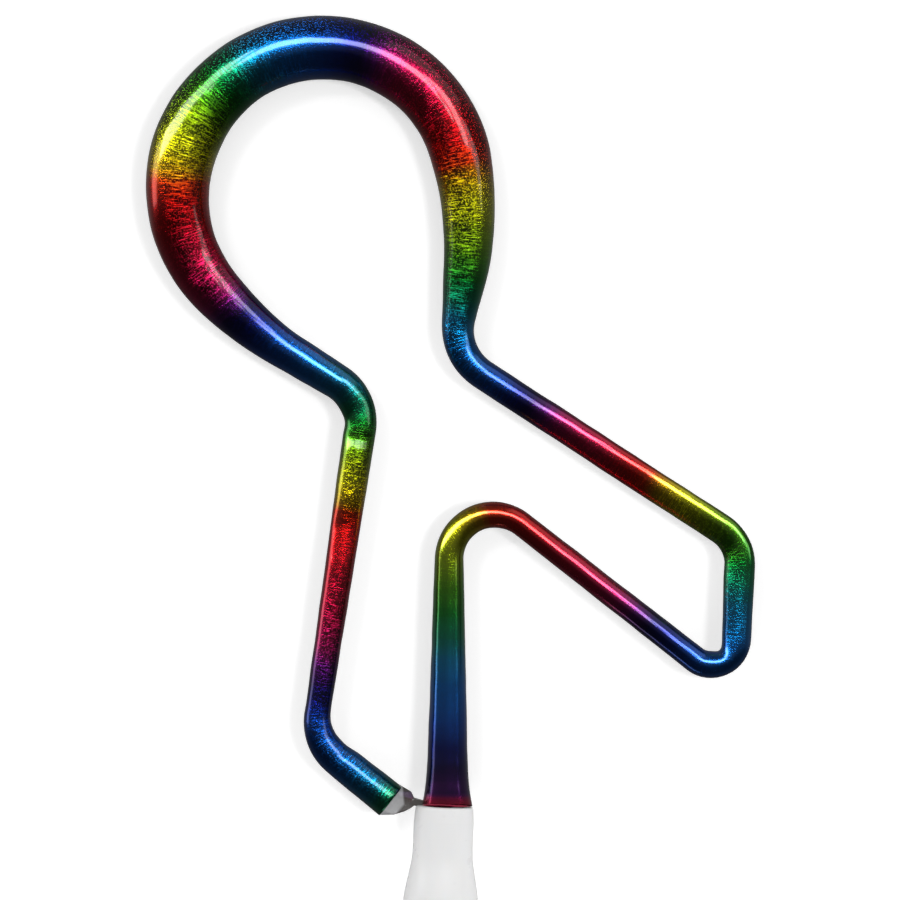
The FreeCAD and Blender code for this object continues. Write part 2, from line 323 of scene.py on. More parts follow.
def make_rainbow_foil(look):
    """Metallic film in a rainbow along the tube, crackled round it and finely speckled. Its colour is
    darkened as painted shade where crackled and speckled, and brightened as painted glints on the ridges and
    grains.
    """
    material, r = new_material("rainbow_foil")
    film = r.attribute("film", "Vector")
    crackled = r.attribute("crackle")
    speckled = r.attribute("speckle")
    drift = r.noise(r.scaled(film, DRIFT_SCALE), detail=3.0)
    bands = r.noise(r.scaled(film, BAND_SCALE), detail=1.0)
    turn = r.attribute("rainbow") + (drift - 0.5) * DRIFT_REACH + (bands - 0.5) * BAND_REACH
    stops = [(place, foil_colour(*hsv)) for place, *hsv in RAINBOW]
    stops.append((1.0, stops[0][1]))
    wrapped = r.node("ShaderNodeMath", {0: turn, 1: 1.0}, operation="FLOORED_MODULO")
    colour = r.node("ShaderNodeValToRGB", {"Fac": wrapped}, stops=stops)

    streak = r.noise(r.scaled(film, STREAK_SCALE), detail=1.0, rough=0.6)
    patches = r.noise(r.scaled(film, PATCH_SCALE), detail=1.0)
    ridge = r.between(streak, 0.54, 0.62) * (r.between(patches, 0.30, 0.62) * crackled)
    grain = r.noise(film, GRAIN_SCALE, 1.0)
    speck = r.between(grain, 0.50, 0.68) * (crackled * 0.8 + speckled + 0.1)
    hairlines = r.noise(r.scaled(film, HAIRLINE_SCALE), detail=1.0)
    height = (
        ridge * look.crackle_height
        + speck * (speckled * 2.0 + 1.0) * look.speckle_height
        + hairlines * look.line_height
    )
    # Painted light in the foil's colour: painted shade where it is crackled and speckled, and painted glints
    # on the crackle's ridges and on the grains.
    painted_shade = crackled * CRACKLE_PAINTED_SHADE + speckled * SPECKLE_PAINTED_SHADE
    painted_light_scale = SMOOTH_SHINE - painted_shade + ridge * RIDGE_PAINTED_GLINT + speck * GRAIN_PAINTED_GLINT
    grey = r.node("ShaderNodeCombineColor", {0: painted_light_scale, 1: painted_light_scale, 2: painted_light_scale})
    principled(r, {
        "Base Color": r.mixed(1.0, colour, grey, "MULTIPLY"),
        "Metallic": 1.0,
        "Roughness": look.roughness + crackled * CRACKLE_DULLING,
        "Normal": r.bump(height),
        "Coat Weight": 1.0 - crackled * CRACKLE_WEAR,
        "Coat Roughness": look.coat_roughness,
        "Coat IOR": 1.5,
    })
    return material


def make_tube_plastic(look):
    """Cloudy grey tube, painted dark beyond the plug's ridge as shade on the facets that face away from the
    light.
    """
    material, r = new_material("tube_plastic")
    place = r.object_place()
    cloud = r.noise(place, 900.0, 3.0, 0.6)
    drawn = r.noise(r.scaled(place, (900.0, 2600.0, 900.0)), detail=2.0)
    pale = r.mixed(r.between(cloud, 0.35, 0.7), solid(look.tube_hazy), solid(look.tube_colour))
    facet_shade = r.mixed(cloud, solid(look.tube_painted_shade, 0.6), solid(look.tube_painted_shade))
    principled(r, {
        # Painted shade: the plug beyond its ridge is coloured dark, for the facets that face away from the
        # light.
        "Base Color": r.mixed(r.attribute("drawn"), pale, facet_shade),
        "Roughness": 0.24 + (cloud - 0.5) * 0.25,
        "IOR": 1.49,
        "Coat Weight": 0.5,
        "Coat Roughness": 0.12,
        "Normal": r.bump(drawn * 0.00003),
    })
    return material


def make_white_plastic(look, name):
    """Satin moulded plastic with faint flow marks and handling haze."""
    material, r = new_material(name)
    place = r.object_place()
    flow = r.noise(r.scaled(place, (260.0, 60.0, 260.0)), detail=3.0)
    haze = r.noise(place, 420.0, 4.0, 0.65)
    pores = r.noise(place, 5200.0, 1.0)
    clean, marked = solid(look.shell_colour), solid(look.shell_colour, 0.965)
    principled(r, {
        "Base Color": r.mixed(r.between(flow, 0.3, 0.75), clean, marked),
        "Roughness": look.shell_roughness + (haze - 0.5) * 0.18,
        "IOR": 1.5,
        "Subsurface Weight": 0.08,
        "Subsurface Radius": (0.0012, 0.0010, 0.0008),
        "Subsurface Scale": 1.0,
        "Specular IOR Level": 0.25,
        "Normal": r.bump(pores * 0.0000012),
    })
    return material


def make_refill_plastic():
    """Milky extruded tube with fine lines along it."""
    material, r = new_material("refill_plastic")
    place = r.object_place()
    lines = r.noise(r.scaled(place, (4200.0, 60.0, 4200.0)), detail=2.0)
    cloud = r.noise(place, 500.0, 3.0)
    principled(r, {
        "Base Color": r.mixed(cloud, solid(MILKY_DENSE), solid(MILKY_PALE)),
        "Roughness": 0.28 + (lines - 0.5) * 0.2,
        "Coat Weight": 0.3,
        "Coat Roughness": 0.15,
        "Normal": r.bump(lines * 0.000006),
    })
    return material


def make_ink(look):
    """Thick oily ink."""
    material, r = new_material("ink")
    swirl = r.noise(r.object_place(), 1500.0, 3.0, 0.6)
    principled(r, {
        "Base Color": r.mixed(swirl, solid(look.ink_colour, 0.45), solid(look.ink_colour)),
        "Roughness": 0.12 + swirl * 0.1,
        "Coat Weight": 0.6,
        "Coat Roughness": 0.05,
        "Normal": r.bump(swirl * 0.00001),
    })
    return material


def make_grease():
    """Amber sealing grease with small trapped bubbles."""
    material, r = new_material("grease")
    place = r.object_place()
    bubbles = r.node("ShaderNodeTexVoronoi", {"Vector": place, "Scale": 3600.0})
    hollow = r.between(bubbles, 0.05, 0.35)
    principled(r, {
        "Base Color": r.mixed(hollow, solid(GREASE_SKIN), solid(GREASE_BUBBLE)),
        "Roughness": 0.2 + hollow * 0.12,
        "Coat Weight": 0.5,
        "Coat Roughness": 0.1,
        "Normal": r.bump(hollow * 0.000008),
    })
    return material


def make_point_metal():
    """Nickel silver turned on a lathe, with rings round it."""
    material, r = new_material("point_metal")
    place = r.object_place()
    rings = r.noise(r.scaled(place, (120.0, 14000.0, 120.0)), detail=3.0, rough=0.7)
    tarnish = r.noise(place, 1100.0, 4.0, 0.6)
    worn = r.between(tarnish, 0.4, 0.75)
    principled(r, {
        "Base Color": r.mixed(worn, solid(NICKEL_BRIGHT), solid(NICKEL_TARNISHED)),
        "Metallic": 1.0,
        "Roughness": 0.22 + (rings - 0.5) * 0.25 + tarnish * 0.08,
        "Normal": r.bump(rings * 0.000004),
    })
    return material


def make_ball_carbide(look):
    """Ground carbide with a trace of ink on it."""
    material, r = new_material("ball_carbide")
    place = r.object_place()
    ground = r.noise(place, 16000.0, 2.0)
    inked = r.between(r.noise(place, 2600.0, 2.0), 0.5, 0.62)
    principled(r, {
        "Base Color": r.mixed(inked, solid(CARBIDE), solid(look.ink_colour)),
        "Metallic": 1.0 - inked * 0.7,
        "Roughness": 0.16 + (ground - 0.5) * 0.15 + inked * 0.12,
        "Normal": r.bump(ground * 0.0000015),
    })
    return material


def make_floor_paint(studio):
    """Pale matt card with a trace of tooth."""
    material, r = new_material("studio_floor")
    place = r.object_place()
    tooth = r.noise(place, 1200.0, 3.0)
    principled(r, {
        "Base Color": r.mixed(tooth, solid(studio.floor_colour, 0.985), solid(studio.floor_colour)),
        "Roughness": 0.9,
        "Normal": r.bump(tooth * 0.00001),
        "Emission Color": solid(WHITE),
        "Emission Strength": studio.floor_glow,
    })
    return material


# ------------------------------------------------------------------ objects and meshes


def in_scene(name, data):
    made = bpy.data.objects.new(name, data)
    bpy.context.scene.collection.objects.link(made)
    return made


def from_shell(shell, name):
    """A new object from a bmesh, which is then freed."""
    mesh = bpy.data.meshes.new(name)
    shell.to_mesh(mesh)
    shell.free()
    return in_scene(name, mesh)


def as_plain_mesh(source, name):
    """A new object with the evaluated mesh of another, which is then removed."""
    bpy.context.view_layer.update()
    graph = bpy.context.evaluated_depsgraph_get()
    mesh = bpy.data.meshes.new_from_object(
        source.evaluated_get(graph), preserve_all_data_layers=True, depsgraph=graph
    )
    bpy.data.objects.remove(source)
    mesh.name = name
    return in_scene(name, mesh)


def join(piece, other):
    """Makes one closed skin of a piece and another, once the piece is evaluated."""
    modifier = piece.modifiers.new("join_" + other.name, "BOOLEAN")
    modifier.operation = "UNION"
    modifier.object = other
    modifier.solver = "EXACT"


def read_vectors(items, field):
    """One vector from each item of a mesh's list, as the rows of an array."""
    flat = np.zeros(len(items) * 3, np.float32)
    items.foreach_get(field, flat)
    return flat.reshape(-1, 3)


def write_attribute(mesh, name, values):
    made = mesh.attributes.new(name, "FLOAT", "POINT")
    made.data.foreach_set("value", values.astype(np.float32))


def along_table(station, table, column=1):
    """A table's column read at each station, with straight runs between its rows."""
    rows = np.array(table)
    return np.interp(station, rows[:, 0], rows[:, column])


def finish_piece(piece, body, slot, *nodes):
    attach(piece, body)
    if nodes:
        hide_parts(*nodes)


# ------------------------------------------------------------------ the tube's line


def rim_centre():
    low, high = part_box("barrel")
    return Vector(((low.x + high.x) / 2, high.y, (low.z + high.z) / 2))


def walk_bends(spacing):
    """Points along the tube's centreline in its own plane: distance, x, y and diameter."""
    place = FOOT_OFFSET.copy()
    heading = math.pi / 2 + STEM_LEAN
    diameter = FOOT_DIAMETER
    gone = 0.0
    rows = [(gone, place.x, place.y, diameter)]
    for _, size, turn, end_diameter in BENDS:
        angle = 0.0 if turn is None else math.radians(turn)
        length = size if turn is None else size * abs(angle)
        steps = max(2, round(length / spacing))
        for step in range(1, steps + 1):
            share = step / steps
            chord = length * share
            half = angle * share / 2
            if half:
                chord *= math.sin(half) / half
            spot = place + chord * Vector((math.cos(heading + half), math.sin(heading + half)))
            girth = diameter + (end_diameter - diameter) * share
            rows.append((gone + length * share, spot.x, spot.y, girth))
        place = spot
        heading += angle
        diameter = end_diameter
        gone += length
    return np.array(rows)


def even_line(spacing):
    """The centreline at even distances, with the diameter's corners smoothed out."""
    rows = walk_bends(spacing / 4)
    count = round(rows[-1, 0] / spacing)
    station = np.linspace(0.0, rows[-1, 0], count + 1)
    x, y, diameter = (along_table(station, rows, column) for column in (1, 2, 3))
    reach = round(GIRTH_BLEND / spacing)
    window = np.hanning(2 * reach + 3)[1:-1]
    padded = np.pad(diameter, reach, mode="reflect", reflect_type="odd")
    smooth = np.convolve(padded, window / window.sum(), mode="valid")
    return station, x, y, smooth


def ribbon_matrix():
    """Lays the tube's own plane on the table: from the rim, sloping so that the loop touches."""
    rows = walk_bends(COARSE_STEP)
    _, _, height, diameter = rows[rows[:, 3].argmax()]
    rim = rim_centre()
    slope = math.atan2(rim.z - diameter / 2, height)
    return Matrix.Translation(rim) @ Matrix.Rotation(-slope, 4, "X")


def tube_line_object(spacing):
    """A poly curve down the middle of the tube, with the tube's radius on each point."""
    station, x, y, diameter = even_line(spacing)
    curve = bpy.data.curves.new("tube_line", "CURVE")
    curve.dimensions = "3D"
    spline = curve.splines.new("POLY")
    spline.points.add(len(station) - 1)
    places = np.column_stack((x, y, np.zeros_like(x), np.ones_like(x)))
    spline.points.foreach_set("co", places.ravel())
    spline.points.foreach_set("radius", diameter / 2)
    return in_scene("tube_line", curve)


SWEEP_INPUTS = (
    ("Geometry", "Geometry"),
    ("Sides", "Int"),
    ("Inset", "Float"),
    ("Wave Depth", "Float"),
    ("Wave Length", "Float"),
    ("Ends Closed", "Bool"),
    ("Material", "Material"),
)


def sweep_tree():
    """Geometry Nodes that sweep a skin along the tube's line."""
    tree = bpy.data.node_groups.new("tube_skin", "GeometryNodeTree")
    for name, kind in SWEEP_INPUTS:
        tree.interface.new_socket(name, in_out="INPUT", socket_type="NodeSocket" + kind)
    tree.interface.new_socket("Geometry", in_out="OUTPUT", socket_type="NodeSocketGeometry")
    g = Recipe(tree)

    def given(name):
        return g.node("NodeGroupInput", output=name)

    def remember(geometry, name, value, kind="FLOAT"):
        sockets = {"Geometry": geometry, "Name": name, "Value": value}
        return g.node("GeometryNodeStoreNamedAttribute", sockets, data_type=kind, domain="POINT")

    def recall(name):
        return g.node("GeometryNodeInputNamedAttribute", {"Name": name}, data_type="FLOAT")

    line = g.node("GeometryNodeSetCurveNormal", {"Curve": given("Geometry")}, mode="Z_UP")
    line = remember(line, "station", g.node("GeometryNodeSplineParameter", output="Length"))
    girth = g.node("GeometryNodeInputRadius") - given("Inset")
    line = remember(line, "girth", girth)
    ring = g.node("GeometryNodeCurvePrimitiveCircle", {"Resolution": given("Sides"), "Radius": 1.0})
    share = g.node("GeometryNodeSplineParameter", output="Factor")
    ring = remember(ring, "angle", share * math.tau)
    skin = g.node("GeometryNodeCurveToMesh", {
        "Curve": line,
        "Profile Curve": ring,
        "Scale": recall("girth"),
        "Fill Caps": given("Ends Closed"),
    })
    turn = recall("angle")
    across = g.node("ShaderNodeMath", {0: turn}, operation="COSINE") * recall("girth")
    upward = g.node("ShaderNodeMath", {0: turn}, operation="SINE") * recall("girth")
    film = g.node("ShaderNodeCombineXYZ", {0: across, 1: upward, 2: recall("station")})
    skin = remember(skin, "film", film, "FLOAT_VECTOR")
    waves = g.node("ShaderNodeTexNoise", {
        "Vector": film,
        "Scale": g.node("ShaderNodeMath", {0: 1.0, 1: given("Wave Length")}, operation="DIVIDE"),
        "Detail": 1.0,
    })
    push = (waves - 0.5) * given("Wave Depth") * 2.0
    normal = g.node("GeometryNodeInputNormal")
    offset = g.node("ShaderNodeVectorMath", {0: normal, "Scale": push}, operation="SCALE")
    skin = g.node("GeometryNodeSetPosition", {"Geometry": skin, "Offset": offset})
    skin = g.node("GeometryNodeSetShadeSmooth", {"Geometry": skin})
    skin = g.node("GeometryNodeRealizeInstances", {"Geometry": skin})
    skin = g.node("GeometryNodeSetMaterial", {"Geometry": skin, "Material": given("Material")})
    g.node("NodeGroupOutput", {"Geometry": skin})
    return tree


def swept_piece(name, foil, inset, closed, material):
    """A skin along the tube's line as a plain mesh, still in the tube's own plane."""
    line = tube_line_object(foil.ring_spacing)
    modifier = line.modifiers.new("tube_skin", "NODES")
    modifier.node_group = sweep_tree()
    inputs = {
        "Sides": foil.sides,
        "Inset": inset,
        "Wave Depth": foil.wave_depth,
        "Wave Length": foil.wave_length,
        "Ends Closed": closed,
        "Material": material,
    }
    for item in modifier.node_group.interface.items_tree:
        if item.in_out == "INPUT" and item.name in inputs:
            modifier[item.identifier] = inputs[item.name]
    piece = as_plain_mesh(line, name)
    press_flats(piece.data, inset)
    return piece


def film_places(mesh):
    """Each point's place on the straight tube: to the left, up and along."""
    return read_vectors(mesh.attributes["film"].data, "vector") * (-1.0, -1.0, 1.0)


def nip_depth(station, around):
    """How far the nips press the tube in, at places along it and angles round it."""
    depths = np.zeros_like(station)
    for middle, side, depth, reach in NIPS:
        facing = np.maximum(np.cos(around - math.radians(side)), 0.0)
        depths += depth * np.exp(-(((station - middle) / reach) ** 2)) * facing**2
    return depths


def press_flats(mesh, inset):
    """Presses the tube out of round, keeping a skin's depth below the foil the same."""
    line, x, y, _ = even_line(FINE_STEP)
    heading = np.unwrap(np.arctan2(np.gradient(y), np.gradient(x)))
    left, up, station = film_places(mesh).T
    share = along_table(station, FLATS)
    roll = np.radians(along_table(station, FLATS, 2))
    girth = np.hypot(left, up)
    squash = ((girth + inset) * share - inset) / np.maximum(girth, SMALLEST_GIRTH)
    thin = up * np.where(girth > 0, squash, 1.0)
    around = np.arctan2(up, left)
    nip = nip_depth(station, around)
    push_left = left * np.cos(roll) + thin * np.sin(roll) - left - nip * np.cos(around)
    push_up = thin * np.cos(roll) - left * np.sin(roll) - up - nip * np.sin(around)
    facing = np.interp(station, line, heading)
    push = np.column_stack((-np.sin(facing) * push_left, np.cos(facing) * push_left, push_up))
    places = read_vectors(mesh.vertices, "co") + push
    mesh.vertices.foreach_set("co", places.ravel())
    mesh.update()


def write_film_attributes(mesh):
    """The rainbow's turn and the shares of crackle and speckle on each point."""
    left, up, station = film_places(mesh).T
    across = left / np.hypot(left, up)
    crackle = along_table(station, CRACKLE) * along_table(across, CRACKLE_SPREAD)
    speckle = along_table(station, SPECKLE) * along_table(across, SPECKLE_SPREAD)
    write_attribute(mesh, "rainbow", along_table(station, TURNS))
    write_attribute(mesh, "crackle", crackle)
    write_attribute(mesh, "speckle", speckle)


# ------------------------------------------------------------------ the pinched end

# The free end beyond the foil, in millimetres in its own directions from the foil's cut: along the
# tube, to its left and up. Left of the gem-like plug is a thin web that reaches the stem's foot.
MM_TO_M = 0.001
M_TO_MM = 1000.0
PLUG_TOP = (
    (-0.0016, 1.60, 1.15), (0.27, 1.66, 1.05), (0.71, 1.58, 1.00), (1.33, 0.96, 0.95),
    (1.57, 0.50, 0.95), (1.48, -0.33, 0.95), (1.30, -0.90, 0.80),
)
PLUG_RIM = (
    (-0.10, 1.98, 0.10), (0.72, 2.30, 0.15), (1.26, 2.44, 0.10), (1.72, 2.18, 0.0),
    (2.25, 1.95, 0.0), (2.55, 1.20, 0.0), (2.42, 0.74, -0.05), (2.10, 0.07, -0.05),
    (1.66, -0.57, -0.05), (1.28, -1.10, 0.0), (0.30, -1.88, 0.0),
)
PLUG_BOTTOM = (
    (0.30, 1.60, -1.05), (1.35, 1.30, -0.80), (1.60, 0.30, -0.85), (1.20, -0.95, -0.80),
)
WEB_TOP = (
    (2.00, 1.10, 0.34), (2.00, 2.10, 0.34), (3.25, 2.62, 0.28), (3.50, 1.75, 0.28),
)
# The plug's round root, inside the tube.
PLUG_ROOT = -1.2
PLUG_SIDES = 40
# The plug's skin is rebuilt in cells of this size and then softened.
PLUG_CELL = 0.00006
PLUG_SOFTENING = 0.5

# Beyond the plug's ridge the plastic is drawn out, and painted dark as shade on the facets that face away
# from the light. The ridge crosses the tube between these distances past the cut. Left of RIDGE_LEFT it
# leans back by RIDGE_LEAN for each millimetre, over RIDGE_WIDTH.
RIDGE_START = 1.30
RIDGE_END = 1.62
RIDGE_LEFT = 0.75
RIDGE_LEAN = 0.95
RIDGE_WIDTH = 2.0
# Only points past the cut and this near to it belong to the plug.
PLUG_START = 0.05
PLUG_REACH = 6.0


def end_frame():
    """Where the foil stops, as a matrix: along the tube, to its left, up."""
    _, x, y, _ = even_line(FINE_STEP)
    end = Vector((x[-1], y[-1], 0.0))
    along = (end - Vector((x[-2], y[-2], 0.0))).normalized()
    across = Vector((-along.y, along.x, 0.0))
    turn = Matrix((along, across, Vector((0, 0, 1)))).transposed().to_4x4()
    return Matrix.Translation(end) @ turn


def hull(points, name):
    """The convex skin round some points."""
    shell = bmesh.new()
    for point in points:
        shell.verts.new(Vector(point) * MM_TO_M)
    bmesh.ops.convex_hull(shell, input=shell.verts)
    loose = [vertex for vertex in shell.verts if not vertex.link_faces]
    bmesh.ops.delete(shell, geom=loose, context="VERTS")
    return from_shell(shell, name)


def tube_end_ring(radius, along):
    angles = (math.tau * side / PLUG_SIDES for side in range(PLUG_SIDES))
    return [(along, radius * math.cos(angle), radius * math.sin(angle)) for angle in angles]


def make_plug(tube_radius):
    """The pinched plug and its web as one closed skin with softened edges."""
    radius = tube_radius * M_TO_MM
    root = [*tube_end_ring(radius, PLUG_ROOT), *tube_end_ring(radius, 0.0)]
    plug = hull([*root, *PLUG_TOP, *PLUG_RIM, *PLUG_BOTTOM], "plug")
    web_bottom = [(along, left, -up) for along, left, up in WEB_TOP]
    web = hull([*WEB_TOP, *web_bottom], "web")
    join(plug, web)
    skin = plug.modifiers.new("skin", "REMESH")
    skin.mode = "VOXEL"
    skin.voxel_size = PLUG_CELL
    soft = plug.modifiers.new("soften", "SMOOTH")
    soft.factor = PLUG_SOFTENING
    soft.iterations = 1
    piece = as_plain_mesh(plug, "plug_skin")
    bpy.data.objects.remove(web)
    return piece


def write_painted_shade_attribute(mesh):
    """Marks the plug beyond its ridge for painted shade, while the tube lies in its own plane."""
    to_end = np.array(end_frame().inverted())
    places = read_vectors(mesh.vertices, "co") @ to_end[:3, :3].T + to_end[:3, 3]
    along, left, _ = M_TO_MM * places.T
    leaning = along + RIDGE_LEAN * np.clip(left - RIDGE_LEFT, 0.0, RIDGE_WIDTH)
    on_plug = (along > PLUG_START) & (along < PLUG_REACH) & (np.abs(left) < PLUG_REACH)
    drawn = np.interp(leaning, (RIDGE_START, RIDGE_END), (0.0, 1.0))
    write_attribute(mesh, "drawn", drawn * on_plug)


def make_spigot():
    """The plain plug of tube that sits in the barrel's socket, below the foil."""
    shell = bmesh.new()
    bmesh.ops.create_cone(
        shell, cap_ends=True, segments=SPIGOT_SIDES, radius1=SPIGOT_RADIUS, radius2=SPIGOT_RADIUS,
        depth=SPIGOT_LENGTH + SPIGOT_ROOT,
    )
    middle = Vector((0, (SPIGOT_ROOT - SPIGOT_LENGTH) / 2, 0))
    shell.transform(Matrix.Translation(middle) @ Matrix.Rotation(math.pi / 2, 4, "X"))
    return from_shell(shell, "spigot")


# ------------------------------------------------------------------ settings


class FoilSettings(bpy.types.PropertyGroup):
    """Sizes and finish of the foil and the tube under it."""

    sides: IntProperty(name="Sides", description="Faces round the tube", default=48, min=12, max=96)
    ring_spacing: FloatProperty(
        name="Ring Spacing", description="Distance between rings along the tube",
        default=0.00042, min=0.0002, max=0.003, subtype="DISTANCE", unit="LENGTH",
    )
    film_wall: FloatProperty(
        name="Film Wall", description="Thickness of the foil skin",
        default=0.0001, min=0.00005, max=0.0005, subtype="DISTANCE", unit="LENGTH",
    )
    wave_depth: FloatProperty(
        name="Wave Depth", description="How far the drawn tube swells and dips",
        default=0.00008, min=0.0, max=0.0005, subtype="DISTANCE", unit="LENGTH",
    )
    wave_length: FloatProperty(
        name="Wave Length", description="Size of the swells and dips",
        default=0.0045, min=0.001, max=0.02, subtype="DISTANCE", unit="LENGTH",
    )
    crackle_height: FloatProperty(
        name="Crackle Height", description="Height of the wrinkles round the tube",
        default=0.000014, min=0.0, max=0.0005, subtype="DISTANCE", unit="LENGTH",
    )
    speckle_height: FloatProperty(
        name="Speckle Height", description="Height of the fine grain",
        default=0.000018, min=0.0, max=0.0005, subtype="DISTANCE", unit="LENGTH",
    )
    line_height: FloatProperty(
        name="Line Height", description="Height of the hairlines round the tube",
        default=0.0000015, min=0.0, max=0.0001, subtype="DISTANCE", unit="LENGTH",
    )
    roughness: FloatProperty(
        name="Roughness", description="Spread of the foil's own gloss",
        default=0.19, min=0.02, max=1.0, subtype="FACTOR",
    )
    coat_roughness: FloatProperty(
        name="Lacquer Roughness", description="Spread of the clear lacquer's gloss",
        default=0.11, min=0.0, max=1.0, subtype="FACTOR",
    )


class ShellSettings(bpy.types.PropertyGroup):
    """Colours of the plain plastics and the ink."""

    shell_colour: FloatVectorProperty(
        name="Shell Colour", description="White plastic of the barrel, nose and cap",
        default=(0.92, 0.92, 0.92), min=0.0, max=1.0, size=3, subtype="COLOR",
    )
    shell_roughness: FloatProperty(
        name="Shell Roughness", description="Spread of the white plastic's gloss",
        default=0.3, min=0.02, max=1.0, subtype="FACTOR",
    )
    tube_colour: FloatVectorProperty(
        name="Tube Colour", description="Tube plastic where it is cloudy",
        default=(0.42, 0.42, 0.43), min=0.0, max=1.0, size=3, subtype="COLOR",
    )
    tube_hazy: FloatVectorProperty(
        name="Tube Haze", description="Tube plastic where it is clearer and shows its depth",
        default=(0.36, 0.36, 0.37), min=0.0, max=1.0, size=3, subtype="COLOR",
    )
    # Colour of the painted shade on the plug beyond its ridge, where its facets face away from the light.
    tube_painted_shade: FloatVectorProperty(
        name="Tube Dark", description="Tube plastic where it was melted and drawn out",
        default=(0.10, 0.09, 0.085), min=0.0, max=1.0, size=3, subtype="COLOR",
    )
    ink_colour: FloatVectorProperty(
        name="Ink Colour", description="Ink in the refill",
        default=(0.008, 0.012, 0.09), min=0.0, max=1.0, size=3, subtype="COLOR",
    )


class StudioSettings(bpy.types.PropertyGroup):
    """Floor, lamps and camera."""

    floor_colour: FloatVectorProperty(
        name="Floor Colour", description="Pale card under the pen",
        default=(0.9, 0.9, 0.9), min=0.0, max=1.0, size=3, subtype="COLOR",
    )
    floor_glow: FloatProperty(
        name="Floor Glow", description="Light of the floor itself, which keeps its shadows pale",
        default=0.42, min=0.0, max=2.0,
    )
    gloss: FloatProperty(
        name="Panel Light", description="Brightness of the panels that the foil reflects",
        default=9.0, min=0.0, max=50.0,
    )
    ambient: FloatProperty(
        name="Ambient", description="Even light from all round on the matt surfaces",
        default=0.6, min=0.0, max=5.0,
    )
    key: FloatProperty(
        name="Key Light", description="Brightness of the lamps that cast the soft shadows",
        default=36.0, min=0.0, max=100.0,
    )
    camera_height: FloatProperty(
        name="Camera Height", description="Distance from the ribbon to the camera",
        default=0.6, min=0.2, max=3.0, subtype="DISTANCE", unit="LENGTH",
    )
    view_width: FloatProperty(
        name="View Width", description="Width of the picture at the ribbon",
        default=0.108, min=0.02, max=1.0, subtype="DISTANCE", unit="LENGTH",
    )


# ------------------------------------------------------------------ operators


class PEN_OT_wrap_foil(bpy.types.Operator):
    """Sweep the rainbow foil along the tube's bends"""

    bl_idname = "pen.wrap_foil"
    bl_label = "Wrap Foil"

    def execute(self, context):
        foil = context.scene.pen_foil
        piece = swept_piece("rainbow_foil_wrap", foil, 0.0, False, make_rainbow_foil(foil))
        piece.data.transform(ribbon_matrix())
        write_film_attributes(piece.data)
        wall = piece.modifiers.new("wall", "SOLIDIFY")
        wall.thickness = foil.film_wall
        wall.offset = -1.0
        piece = as_plain_mesh(piece, "rainbow_foil_wrap")
        finish_piece(piece, "pen", "rainbow_foil", "foil_wrap")
        return {"FINISHED"}


class PEN_OT_form_tube(bpy.types.Operator):
    """Make the tube under the foil, with its spigot and its pinched end"""

    bl_idname = "pen.form_tube"
    bl_label = "Form Tube"

    def execute(self, context):
        foil = context.scene.pen_foil
        material = make_tube_plastic(context.scene.pen_shells)
        core = swept_piece("bent_tube_core", foil, foil.film_wall, True, material)
        end_radius = BENDS[-1][3] / 2 - foil.film_wall
        plug = make_plug(end_radius)
        plug.data.transform(end_frame())
        spigot = make_spigot()
        for part in (plug, spigot):
            join(core, part)
        piece = as_plain_mesh(core, "bent_tube_pinched")
        bpy.data.objects.remove(plug)
        bpy.data.objects.remove(spigot)
        write_painted_shade_attribute(piece.data)
        piece.data.transform(ribbon_matrix())
        piece.data.materials.clear()
        piece.data.materials.append(material)
        piece.data.shade_smooth()
        finish_piece(piece, "pen", "tube_plastic", "bent_tube")
        return {"FINISHED"}


class PEN_OT_finish_shells(bpy.types.Operator):
    """Give the barrel, the nose cone and the cap their white plastic"""

    bl_idname = "pen.finish_shells"
    bl_label = "Finish Shells"

    def execute(self, context):
        look = context.scene.pen_shells
        for node in ("barrel", "nose_cone", "cap"):
            dress(node, make_white_plastic(look, node + "_white_plastic"))
        return {"FINISHED"}


class PEN_OT_finish_refill(bpy.types.Operator):
    """Finish the refill's tube, ink and grease"""

    bl_idname = "pen.finish_refill"
    bl_label = "Finish Refill"

    def execute(self, context):
        look = context.scene.pen_shells
        dress("refill_tube", make_refill_plastic())
        dress("ink_column", make_ink(look))
        dress("grease_follower", make_grease())
        return {"FINISHED"}


class PEN_OT_finish_point(bpy.types.Operator):
    """Finish the metal writing point and its ball"""

    bl_idname = "pen.finish_point"
    bl_label = "Finish Point"

    def execute(self, context):
        look = context.scene.pen_shells
        dress("writing_point", make_point_metal())
        dress("writing_ball", make_ball_carbide(look))
        return {"FINISHED"}


class PEN_OT_set_studio(bpy.types.Operator):
    """Lay the floor, hang the lamps and set the camera"""

    bl_idname = "pen.set_studio"
    bl_label = "Set Studio"

    def execute(self, context):
        studio = context.scene.pen_studio
        lay_floor(studio)
        light_world(studio)
        hang_lamps(studio)
        set_camera(studio)
        context.scene.view_settings.view_transform = "Standard"
        context.scene.cycles.caustics_reflective = False
        return {"FINISHED"}


def dress(node, material):
    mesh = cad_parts[node].data
    mesh.materials.clear()
    mesh.materials.append(material)


# ------------------------------------------------------------------ studio

VIEW_CENTRE = Vector((0.00032, 0.03861, 0.0043))
CAMERA_ROLL = math.radians(2.4)
SENSOR_WIDTH = 36.0
NEAREST_SEEN = 0.01
FARTHEST_SEEN = 20.0
FLOOR_HALF = 3.0
LAMP_DISTANCE = 1.2

# The dim room that the foil mirrors: its glow all round, and what is added behind the pen, near
# the floor, and to the left and right.
ROOM_GLOW = 0.025
BACK_GLOW = 0.10
LOW_GLOW = 0.03
SIDE_GLOW = 0.08

